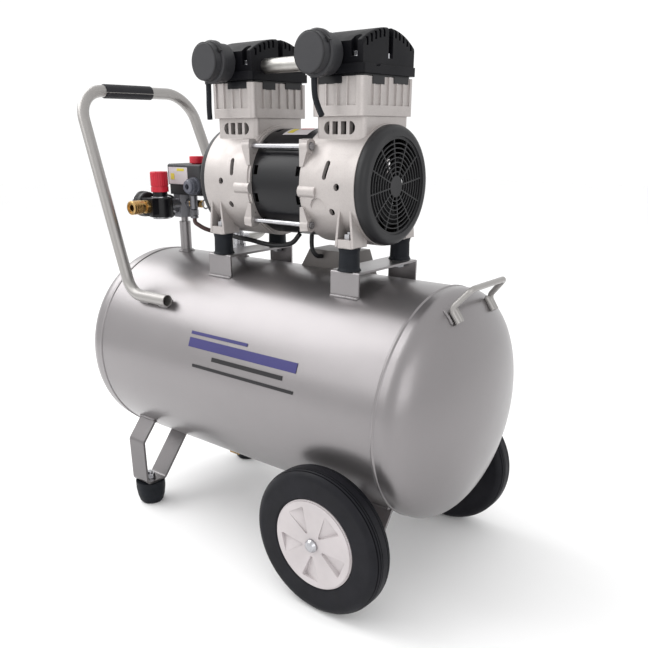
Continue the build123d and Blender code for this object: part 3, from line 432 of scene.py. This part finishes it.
# ---------------------------------------------------------------- mesh kit
def piece(name, bm, look, smooth=40):
    """Turn a bmesh into a named piece that rides on the frame."""
    bmesh.ops.recalc_face_normals(bm, faces=bm.faces)
    mesh = bpy.data.meshes.new(name)
    bm.to_mesh(mesh)
    bm.free()
    mesh.materials.append(look.material)
    mesh.polygons.foreach_set("use_smooth", [True] * len(mesh.polygons))
    mesh.set_sharp_from_angle(angle=math.radians(smooth))
    made = bpy.data.objects.new(name, mesh)
    bpy.context.scene.collection.objects.link(made)
    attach(made, "frame")


def along(axis, origin):
    """A placement whose local Z axis points along axis."""
    return Matrix.Translation(origin) @ Vector(axis).to_track_quat("Z", "Y").to_matrix().to_4x4()


def lathe(bm, profile, place, steps=96, closed=False):
    """Turn a (radius, height) outline about the local Z axis of a placement; radius 0 is a point."""
    rings = []
    for radius, height in profile:
        turns = [2 * math.pi * k / steps for k in range(steps if radius else 1)]
        rings.append([bm.verts.new(place @ Vector((radius * math.cos(a), radius * math.sin(a), height)))
                      for a in turns])
    pairs = list(zip(rings, rings[1:]))
    if closed:
        pairs.append((rings[-1], rings[0]))
    for first, second in pairs:
        for k in range(steps):
            n = (k + 1) % steps
            around = ((first, k), (first, n), (second, n), (second, k))
            corners = [ring[i % len(ring)] for ring, i in around]
            bm.faces.new(list(dict.fromkeys(corners)))


def slab(bm, corners, depth):
    """A closed plate: a flat outline and the same outline moved by depth."""
    top = [bm.verts.new(c) for c in corners]
    low = [bm.verts.new(Vector(c) + Vector(depth)) for c in corners]
    bm.faces.new(top)
    bm.faces.new(low[::-1])
    for k in range(len(top)):
        n = (k + 1) % len(top)
        bm.faces.new([top[k], low[k], low[n], top[n]])


# ---------------------------------------------------------------- printed bands and labels
def on_drum(axis, radius, x, angle):
    """A point on a level cylinder; the angle is up from level on the -Y side, in degrees."""
    a = math.radians(angle)
    return Vector((x, axis.y - radius * math.cos(a), axis.z + radius * math.sin(a)))


def wrapped_band(name, axis, radius, x0, x1, low, high, look, thick=0.0003, steps=18):
    """A thin closed patch that follows a level cylinder."""
    bm = bmesh.new()
    rows = []
    for k in range(steps + 1):
        angle = low + (high - low) * k / steps
        rows.append([bm.verts.new(on_drum(axis, r, x, angle))
                     for r, x in ((radius, x0), (radius + thick, x0), (radius + thick, x1), (radius, x1))])
    for first, second in zip(rows, rows[1:]):
        for k in range(4):
            n = (k + 1) % 4
            bm.faces.new([first[k], first[n], second[n], second[k]])
    bm.faces.new(rows[0])
    bm.faces.new(rows[-1][::-1])
    piece(name, bm, LOOKS[look])


def tank_stripes():
    """Plain straight stripes where the tank carries its print: name, x range, angle range, look."""
    surface = TANK_R + 0.0005
    for name, x0, x1, low, high, look in (
            ("tank_stripe_wide", -0.066, 0.150, 19.5, 24.5, "blue_print"),
            ("tank_stripe_upper", -0.066, 0.052, 26.3, 28.0, "blue_print"),
            ("tank_stripe_thin", -0.012, 0.128, 14.6, 16.8, "dark_print"),
            ("tank_stripe_low", -0.052, 0.150, 9.4, 11.0, "dark_print")):
        wrapped_band(name, TANK_AXIS, surface, x0, x1, low, high, look)


def motor_trim():
    """Raised seam strip and a blank label on the motor casing."""
    axis = middle("motor_casing")
    radius = size("motor_casing").z / 2
    half = size("motor_casing").x / 2
    reach = half - 0.012
    wrapped_band("casing_seam_strip", axis, radius + 0.0002, axis.x - reach, axis.x + reach,
                 38, 47, "black_paint", 0.0012)
    for name, out, x0, x1, low, high, look in (
            ("casing_label", 0.0003, -0.020, 0.026, 62, 82, "label"),
            ("casing_label_patch", 0.0007, -0.014, -0.004, 66, 78, "yellow_print"),
            ("casing_label_line", 0.0007, 0.0, 0.022, 77, 79.5, "red_ink")):
        wrapped_band(name, axis, radius + out, axis.x + x0, axis.x + x1, low, high, look)


def switch_label():
    """Blank label with a plain yellow band on the switch cover's front face."""
    low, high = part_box("switch_cover")
    for name, left, right, z0, z1, out, look in (
            ("switch_label", 0.005, 0.052, low.z + 0.001, high.z - 0.005, 0.0004, "label"),
            ("switch_label_band", 0.026, 0.044, high.z - 0.011, high.z - 0.007, 0.0007, "yellow_print"),
            ("switch_label_patch", 0.010, 0.019, low.z + 0.008, low.z + 0.018, 0.0007, "yellow_print")):
        bm = bmesh.new()
        x0, x1, y = low.x + left, low.x + right, low.y - out
        slab(bm, [(x0, y, z0), (x1, y, z0), (x1, y, z1), (x0, y, z1)], (0, out, 0))
        piece(name, bm, LOOKS[look])


# ---------------------------------------------------------------- weld beads
BEAD_STEP = 0.0016
BEAD_RIPPLE = 0.13
BEAD_SCATTER = 0.07
BEAD_TURN = 2.1
BEAD_TIP = 0.45


def bead(bm, route, radius, rng, sides=10):
    """A rippled weld bead along a line of points."""
    points = [Vector(p) for p in route]
    rings = []
    for k, point in enumerate(points):
        ahead = (points[min(k + 1, len(points) - 1)] - points[max(k - 1, 0)]).normalized()
        place = along(ahead, point)
        scatter = rng.uniform(-BEAD_SCATTER, BEAD_SCATTER)
        swell = radius * (1 + BEAD_RIPPLE * math.sin(k * BEAD_TURN) + scatter)
        if k in (0, len(points) - 1):
            swell *= BEAD_TIP
        rings.append([bm.verts.new(place @ Vector((swell * math.cos(2 * math.pi * n / sides),
                                                   swell * math.sin(2 * math.pi * n / sides), 0)))
                      for n in range(sides)])
    for first, second in zip(rings, rings[1:]):
        for k in range(sides):
            n = (k + 1) % sides
            bm.faces.new([first[k], first[n], second[n], second[k]])
    bm.faces.new(rings[0][::-1])
    bm.faces.new(rings[-1])


def spaced(start, end):
    """Evenly spaced points between two places."""
    start, end = Vector(start), Vector(end)
    count = max(3, int((end - start).length / BEAD_STEP))
    return [start.lerp(end, k / count) for k in range(count + 1)]


def beads_along_x(name, lines, radius, seed):
    """One piece of several straight beads given as (x0, x1, y, z) in mm."""
    rng = random.Random(seed)
    bm = bmesh.new()
    for x0, x1, y, z in lines:
        bead(bm, spaced((x0 * MM, y * MM, z * MM), (x1 * MM, y * MM, z * MM)), radius, rng)
    piece(name, bm, LOOKS["weld"])


def drum_z(y, out=0.0):
    """Height of the tank's surface above its axis, in mm, at a side distance in mm."""
    return math.sqrt((TANK_R / MM + out) ** 2 - y ** 2)


# Places of the straight beads, in mm; those in Y are mirrored.
HANDLE_WELDS_X = ((-206, -184), (-160, -138))
HANDLE_WELDS_YZ = ((124.0, 386.4), (131.9, 376.8))
FOOT_WELDS_YZ = ((119.6, 161.4), (114.6, 156.6), (49.2, 117.4), (43.6, 115.8))
AXLE_PLATE_WELDS_Y = (105.6, 97.6)
PUMP_BRACKET_LENGTH = 48


def straight_welds():
    """Beads along X where the handle, the feet, the pump brackets and the axle plates meet the tank."""
    axis_z = TANK_AXIS.z / MM
    sides = (-1, 1)
    handle = [(x0, x1, s * y, z) for s in sides for x0, x1 in HANDLE_WELDS_X for y, z in HANDLE_WELDS_YZ]
    beads_along_x("handle_welds", handle, 0.0027, 3)
    foot = middle("foot_brackets").x / MM
    half = size("foot_brackets").x / MM / 2
    feet = [(foot - half, foot + half, s * y, z) for s in sides for y, z in FOOT_WELDS_YZ]
    beads_along_x("foot_bracket_welds", feet, 0.0026, 4)
    edge = size("pump_brackets").y / MM / 2 + 1.2
    low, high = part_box("pump_brackets")
    lines = [(x, x + PUMP_BRACKET_LENGTH, s * edge, axis_z + drum_z(edge, 0.4)) for s in sides
             for x in (low.x / MM, high.x / MM - PUMP_BRACKET_LENGTH)]
    beads_along_x("pump_bracket_welds", lines, 0.0024, 5)
    wheel = middle("axle_plates").x / MM
    reach = size("axle_plates").x / MM / 2 - 3
    plates = [(wheel - reach, wheel + reach, s * y, axis_z - drum_z(y, 0.4)) for s in sides
              for y in AXLE_PLATE_WELDS_Y]
    beads_along_x("axle_plate_welds", plates, 0.0024, 6)


def ring_points(centre, radius, count):
    """Points round a level circle, with the first one again at the end."""
    turns = (2 * math.pi * k / count for k in range(count + 1))
    return [Vector((centre[0] + radius * math.cos(a), centre[1] + radius * math.sin(a), 0)) for a in turns]


CHECK_VALVE_PORT = (-0.127, 0.020)  # centre of its port in X and Y, in metres


def port_welds():
    """Round beads where the ports meet the tank, above it (1) or below it (-1)."""
    rng = random.Random(7)
    bm = bmesh.new()
    riser, drain = middle("riser_pipe"), middle("drain_valve")
    for x, y, radius, sign in ((riser.x, riser.y, 0.0122, 1), (*CHECK_VALVE_PORT, 0.0148, 1),
                               (drain.x, 0, 0.0118, -1)):
        points = ring_points((x, y), radius, int(radius * 2 * math.pi / BEAD_STEP))
        for p in points:
            p.z = TANK_AXIS.z + sign * drum_z(p.y / MM, 0.3) * MM
        bead(bm, points, 0.0021, rng)
    piece("port_welds", bm, LOOKS["weld"])


# In mm: where the head's straight skirt ends, and the beads on its dome.
HEAD_SKIRT_X = 295.0
LIFTING_LEG_SIDES = (-57, -48, 48, 57)
LIFTING_WELD_Z = 407
LIFTING_WELD_STEP = 1.35


def lifting_handle_welds():
    """Beads that follow the domed head beside the lifting handle's legs."""
    rng = random.Random(8)
    bm = bmesh.new()
    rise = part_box("tank_heads")[1].x / MM - HEAD_SKIRT_X
    for y in LIFTING_LEG_SIDES:
        route = []
        for k in range(13):
            z = LIFTING_WELD_Z + LIFTING_WELD_STEP * k
            r = math.hypot(y, z - TANK_AXIS.z / MM) / (TANK_R / MM)
            route.append(Vector((HEAD_SKIRT_X + 0.6 + rise * math.sqrt(1 - r * r), y, z)) * MM)
        bead(bm, route, 0.0022, rng)
    piece("lifting_handle_welds", bm, LOOKS["weld"])


# ---------------------------------------------------------------- gauges
DIAL_R = 0.0174
DIAL_SWEEP = 270
DIAL_STEPS = 40
RED_FROM_STEP = 33
NUMBER_R = 0.0112
NUMBER_HEIGHT = 0.0026
LENS_R = 0.0178
BEZEL = [(0.0182, -0.0006), (0.0203, -0.0014), (0.0206, -0.0002), (0.0202, 0.0010), (0.0194, 0.0013),
         (0.0184, 0.0008)]
RIB_FOOT_R, RIB_TIP_R, RIB_HALF = 0.0197, 0.0207, 0.0007


def bar_on_dial(bm, centre, angle, inner, outer, width, x):
    """A tick on a dial that faces -X; the angle is in degrees clockwise from straight up."""
    a = math.radians(angle)
    out = Vector((0, -math.sin(a), math.cos(a)))
    side = Vector((0, math.cos(a), math.sin(a))) * width / 2
    base = Vector((x, centre.y, centre.z))
    near, far = base + out * inner, base + out * outer
    slab(bm, [near - side, far - side, far + side, near + side], (0.00012, 0, 0))


# Strokes of a plain numeral, as (u0, v0, u1, v1) across and up a unit cell.
STROKES = {"a": (0, 1, 1, 1), "b": (1, 0.5, 1, 1), "c": (1, 0, 1, 0.5), "d": (0, 0, 1, 0),
           "e": (0, 0, 0, 0.5), "f": (0, 0.5, 0, 1), "g": (0, 0.5, 1, 0.5)}
DIGITS = {"0": "abcdef", "2": "abged", "4": "fgbc", "6": "afgedc", "8": "abcdefg"}


def digit_on_dial(bm, digit, centre, y, z, x, height):
    """A plain stroke numeral, read from the -X side."""
    for key in DIGITS[digit]:
        u0, v0, u1, v1 = STROKES[key]
        width, thick = height * 0.5, height * 0.16
        y0, y1 = sorted((-u0 * width, -u1 * width))
        z0, z1 = sorted((v0 * height, v1 * height))
        at = Vector((x, centre.y + y + width / 2, centre.z + z - height / 2))
        t = thick / 2
        corners = [at + Vector((0, y0 - t, z0 - t)), at + Vector((0, y1 + t, z0 - t)),
                   at + Vector((0, y1 + t, z1 + t)), at + Vector((0, y0 - t, z1 + t))]
        slab(bm, corners, (0.0001, 0, 0))


def rim_ribs(bm, centre, x0, x1, count=44):
    """Grip ribs around a gauge's rim."""
    for k in range(count):
        a = 2 * math.pi * k / count
        out = Vector((0, math.cos(a), math.sin(a)))
        side = Vector((0, -math.sin(a), math.cos(a))) * RIB_HALF
        base = Vector((x0, centre.y, centre.z))
        foot, tip = base + out * RIB_FOOT_R, base + out * RIB_TIP_R
        slab(bm, [foot - side, tip - side * 0.6, tip + side * 0.6, foot + side], (x1 - x0, 0, 0))


def dial_angle(step):
    """Angle of a step of the scale, in degrees clockwise from straight up."""
    return DIAL_SWEEP * (step / DIAL_STEPS - 0.5)


def dial_marks(name, centre, x):
    """Ticks in black, with the top of the scale in red, and even numbers."""
    marks, red = bmesh.new(), bmesh.new()
    for k in range(DIAL_STEPS + 1):
        inner, width = (0.0138, 0.0006) if k % 10 == 0 else (0.0147, 0.0003)
        bar_on_dial(red if k >= RED_FROM_STEP else marks, centre, dial_angle(k), inner, 0.0163, width, x)
    for digit, k in (("0", 0), ("2", 10), ("4", 20), ("6", 30), ("8", 40)):
        a = math.radians(dial_angle(k))
        y, z = -NUMBER_R * math.sin(a), NUMBER_R * math.cos(a)
        digit_on_dial(marks, digit, centre, y, z, x, NUMBER_HEIGHT)
    piece(name + "_marks", marks, LOOKS["ink"])
    piece(name + "_red_marks", red, LOOKS["red_ink"])


def gauge(name, joint):
    """Dial with ticks and numbers, a ribbed bezel and a clear lens around a CAD needle."""
    centre = pivot(joint)
    face = centre.x + 0.00195
    rim_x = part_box("gauge_cases")[0].x

    def facing(x):
        return along((-1, 0, 0), (x, centre.y, centre.z))

    dial = bmesh.new()
    lathe(dial, [(0, 0), (DIAL_R, 0), (DIAL_R, 0.0003), (0, 0.0003)], facing(face + 0.0002))
    piece(name + "_dial", dial, LOOKS["dial"])
    dial_marks(name, centre, face - 0.0003)
    bezel = bmesh.new()
    lathe(bezel, BEZEL, facing(rim_x), closed=True)
    piece(name + "_bezel", bezel, LOOKS["bezel"])
    ribs = bmesh.new()
    rim_ribs(ribs, centre, rim_x + 0.001, rim_x + 0.010)
    piece(name + "_rim_ribs", ribs, LOOKS["black_plastic"])
    lens = bmesh.new()
    lathe(lens, [(0, 0), (LENS_R, 0), (LENS_R, 0.0009), (0.009, 0.0013), (0, 0.0014)],
          facing(rim_x + 0.0010))
    piece(name + "_lens", lens, LOOKS["lens"])


# ---------------------------------------------------------------- small trim
FILTER_R = 0.028
FILTER_Z = 0.727
CLAMP_R = 0.0272
CLAMP_Y = -0.0905


def filter_trim():
    """Clamp tab and a raised lip on each intake filter."""
    low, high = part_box("intake_filters")
    for name, x in (("left", low.x + FILTER_R), ("right", high.x - FILTER_R)):
        lip = bmesh.new()
        lathe(lip, [(0.0232, 0.0), (0.0246, 0.0), (0.0246, 0.0012), (0.0238, 0.0018), (0.0232, 0.0012)],
              along((0, -1, 0), (x, low.y + 0.0022, FILTER_Z)), closed=True)
        piece("filter_lip_" + name, lip, LOOKS["black_plastic"])
        tab = bmesh.new()
        a = math.radians(35)
        at = Vector((x + CLAMP_R * math.cos(a), CLAMP_Y, FILTER_Z + CLAMP_R * math.sin(a)))
        slab(tab, [at + Vector((-0.004, 0, -0.002)), at + Vector((0.001, 0, -0.005)),
                   at + Vector((0.0025, 0, -0.002)), at + Vector((-0.002, 0, 0.002))], (0, 0.006, 0))
        piece("filter_tab_" + name, tab, LOOKS["black_plastic"])


UNLOADER_XY = (-0.198, -0.012)
UNLOADER_SLEEVE = [(0.0052, 0.5145), (0.0066, 0.5145), (0.0066, 0.5365), (0.0052, 0.5365)]
UNLOADER_COLLAR = [(0.0048, 0.4995), (0.0064, 0.4995), (0.0068, 0.5012), (0.0064, 0.5030),
                   (0.0048, 0.5030)]
UNLOADER_NUT = [(0.0056, 0.5032), (0.0073, 0.5040), (0.0073, 0.5130), (0.0056, 0.5138)]


def unloader_fitting():
    """Plated sleeve, hexagon nut and collar round the unloader valve under the switch."""
    upright = along((0, 0, 1), (*UNLOADER_XY, 0))
    bm = bmesh.new()
    lathe(bm, UNLOADER_SLEEVE, upright, closed=True)
    lathe(bm, UNLOADER_COLLAR, upright, closed=True)
    lathe(bm, UNLOADER_NUT, upright, steps=6, closed=True)
    piece("unloader_fitting", bm, LOOKS["dark_zinc"], smooth=30)


RING_LEVELS = (0.5338, 0.5008)
RING = [(0.0126, 0), (0.0150, 0), (0.0150, 0.0016), (0.0126, 0.0016)]


def regulator_rings():
    """Bright rings near the top and the foot of the regulator's body."""
    centre = pivot("regulator_turn")
    bm = bmesh.new()
    for z in RING_LEVELS:
        lathe(bm, RING, along((0, 0, 1), (centre.x, centre.y, z)), closed=True)
    piece("regulator_rings", bm, LOOKS["zinc_steel"])


# ---------------------------------------------------------------- cords
# Routes of the hoses in mm, from the filter's nipple down.
HOSE_D = 0.0076
LEFT_HOSE = [(-71.5, -83, 699), (-71.5, -83, 685), (-72.3, -83.4, 669), (-70.6, -84.2, 652.4)]
RIGHT_HOSE = [(123, -83, 699), (123, -83, 685), (127.2, -83.6, 669), (137, -84.6, 654.6)]


def breather_hose(name, route):
    """A short open-ended rubber hose that hangs from a filter's nipple."""
    data = bpy.data.curves.new(name, "CURVE")
    data.dimensions = "3D"
    line = data.splines.new("NURBS")
    line.points.add(len(route) - 1)
    for point, place in zip(line.points, route):
        point.co = (*(Vector(place) * MM), 1)
    line.order_u = 3
    line.use_endpoint_u = True
    line.resolution_u = 16
    data.bevel_depth = HOSE_D / 2
    data.bevel_resolution = 8
    data.use_fill_caps = True
    data.materials.append(LOOKS["black_rubber"].material)
    hose = bpy.data.objects.new(name + "_tube", data)
    bpy.context.scene.collection.objects.link(hose)
    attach(hose, "frame")
    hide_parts(name)


add_camera()
add_studio()
make_looks()
dress_nodes()
breather_hose("breather_hose_left", LEFT_HOSE)
breather_hose("breather_hose_right", RIGHT_HOSE)
tank_stripes()
motor_trim()
switch_label()
straight_welds()
port_welds()
lifting_handle_welds()
gauge("gauge_outlet", "outlet_needle_sweep")
gauge("gauge_tank", "tank_needle_sweep")
filter_trim()
regulator_rings()
unloader_fitting()
